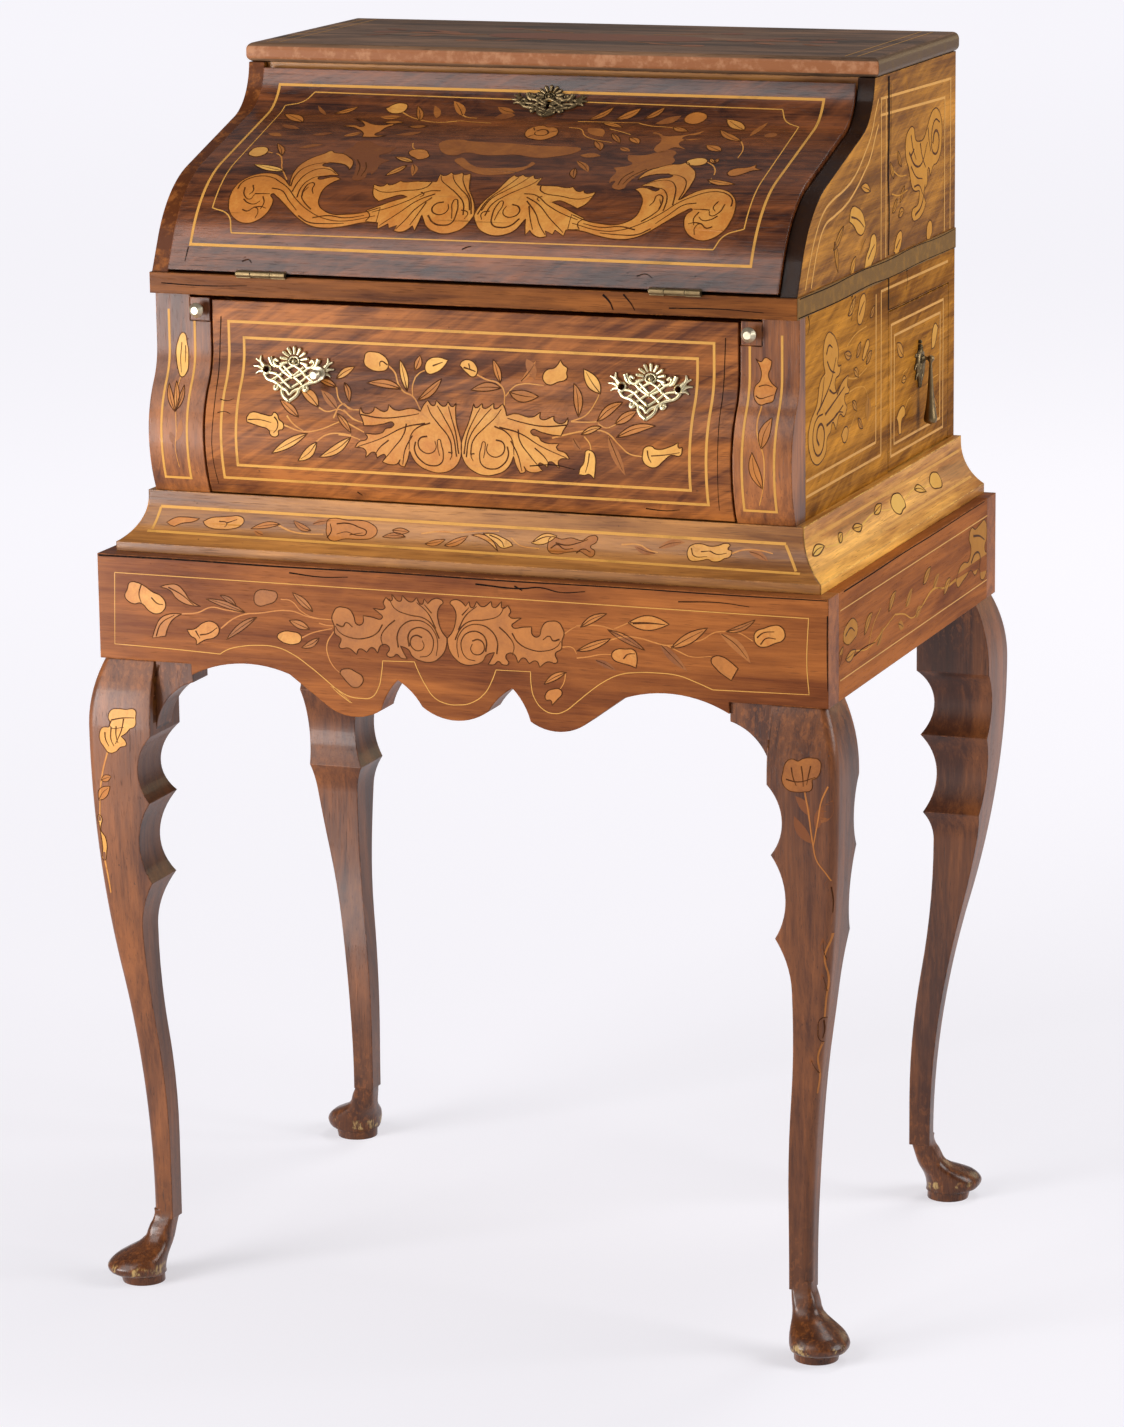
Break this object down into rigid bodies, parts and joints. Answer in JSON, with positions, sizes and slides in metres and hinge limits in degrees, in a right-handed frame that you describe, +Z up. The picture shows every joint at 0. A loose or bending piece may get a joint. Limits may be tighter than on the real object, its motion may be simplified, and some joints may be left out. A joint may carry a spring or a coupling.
{
  "type": "escritoire",
  "caption": "Writing desk on a cabriole-legged stand with an ogee fall front, serpentine drawer, side drawer, pull-out lopers and fitted interior, inlaid with floral marquetry.",
  "frame": {"origin": "centre of the stand on the floor", "axes": "+X to the right as seen from the front, +Y to the back, +Z up"},
  "size_m": [0.6822, 0.5221, 1.077],
  "materials": {
    "mahogany": "polished veneer with marquetry",
    "dark_mahogany": "dark polished",
    "walnut": "faded veneer with marquetry",
    "oak": "plain",
    "brass": "worn cast"
  },
  "bodies": {
    "case": {"leg_front_left": "mahogany", "leg_front_right": "mahogany", "leg_back_left": "mahogany", "leg_back_right": "mahogany", "apron_front": "mahogany", "apron_back": "mahogany", "apron_left": "mahogany", "apron_right": "mahogany", "ear_bracket_left": "mahogany", "ear_bracket_right": "mahogany", "moulding_front": "mahogany", "moulding_left": "mahogany", "moulding_right": "mahogany", "stile_left": "mahogany", "stile_right": "mahogany", "desk_board": "mahogany", "upper_rail": "mahogany", "side_lower_left": "walnut", "side_lower_right": "walnut", "side_upper_left": "walnut", "side_upper_right": "walnut", "top_board": "dark_mahogany", "case_bottom": "oak", "back_board": "oak", "partition": "oak", "drawer_guides": "oak", "loper_bearer_left": "oak", "loper_bearer_right": "oak", "side_drawer_guide": "oak", "desk_bed": "oak", "desk_shelf": "oak", "desk_dividers": "oak", "hinge_leaves_desk": "brass"},
    "fall": {"fall": "mahogany", "hinge_leaves_fall": "brass", "escutcheon": "brass", "fall_lock": "brass"},
    "lock_bolt": {"lock_bolt": "brass"},
    "front_drawer": {"drawer_front": "mahogany", "drawer_side_left": "oak", "drawer_side_right": "oak", "drawer_back": "oak", "drawer_bottom": "oak", "drawer_plates": "brass", "handle_post": "brass"},
    "side_drawer": {"side_drawer_front": "walnut", "side_drawer_near": "oak", "side_drawer_far": "oak", "side_drawer_back": "oak", "side_drawer_bottom": "oak", "drop_plate": "brass"},
    "drop_handle": {"drop_handle": "brass"},
    "loper_left": {"loper_left": "mahogany", "loper_knob_left": "brass"},
    "loper_right": {"loper_right": "mahogany", "loper_knob_right": "brass"},
    "small_drawer_left": {"small_drawer_left": "oak", "small_knob_left": "brass"},
    "small_drawer_right": {"small_drawer_right": "oak", "small_knob_right": "brass"}
  },
  "joints": [
    {"name": "fall_hinge", "type": "hinge", "parent": "case", "child": "fall", "pos_m": [0, -0.2135, 0.904], "axis": [1, 0, 0], "range_deg": [0, 142.4]},
    {"name": "bolt_slide", "type": "slide", "parent": "fall", "child": "lock_bolt", "axis": [0, 0.7923, 0.6101], "range_m": [0, 0.009]},
    {"name": "front_drawer_slide", "type": "slide", "parent": "case", "child": "front_drawer", "axis": [0, -1, 0], "range_m": [0, 0.15]},
    {"name": "side_drawer_slide", "type": "slide", "parent": "case", "child": "side_drawer", "axis": [1, 0, 0], "range_m": [0, 0.34]},
    {"name": "drop_hinge", "type": "hinge", "parent": "side_drawer", "child": "drop_handle", "pos_m": [0.301, 0.1385, 0.8], "axis": [0, -1, 0], "range_deg": [0, 70]},
    {"name": "loper_left_slide", "type": "slide", "parent": "case", "child": "loper_left", "axis": [0, -1, 0], "range_m": [0, 0.15]},
    {"name": "loper_right_slide", "type": "slide", "parent": "case", "child": "loper_right", "axis": [0, -1, 0], "range_m": [0, 0.15]},
    {"name": "small_drawer_left_slide", "type": "slide", "parent": "case", "child": "small_drawer_left", "axis": [0, -1, 0], "range_m": [0, 0.095]},
    {"name": "small_drawer_right_slide", "type": "slide", "parent": "case", "child": "small_drawer_right", "axis": [0, -1, 0], "range_m": [0, 0.095]}
  ]
}
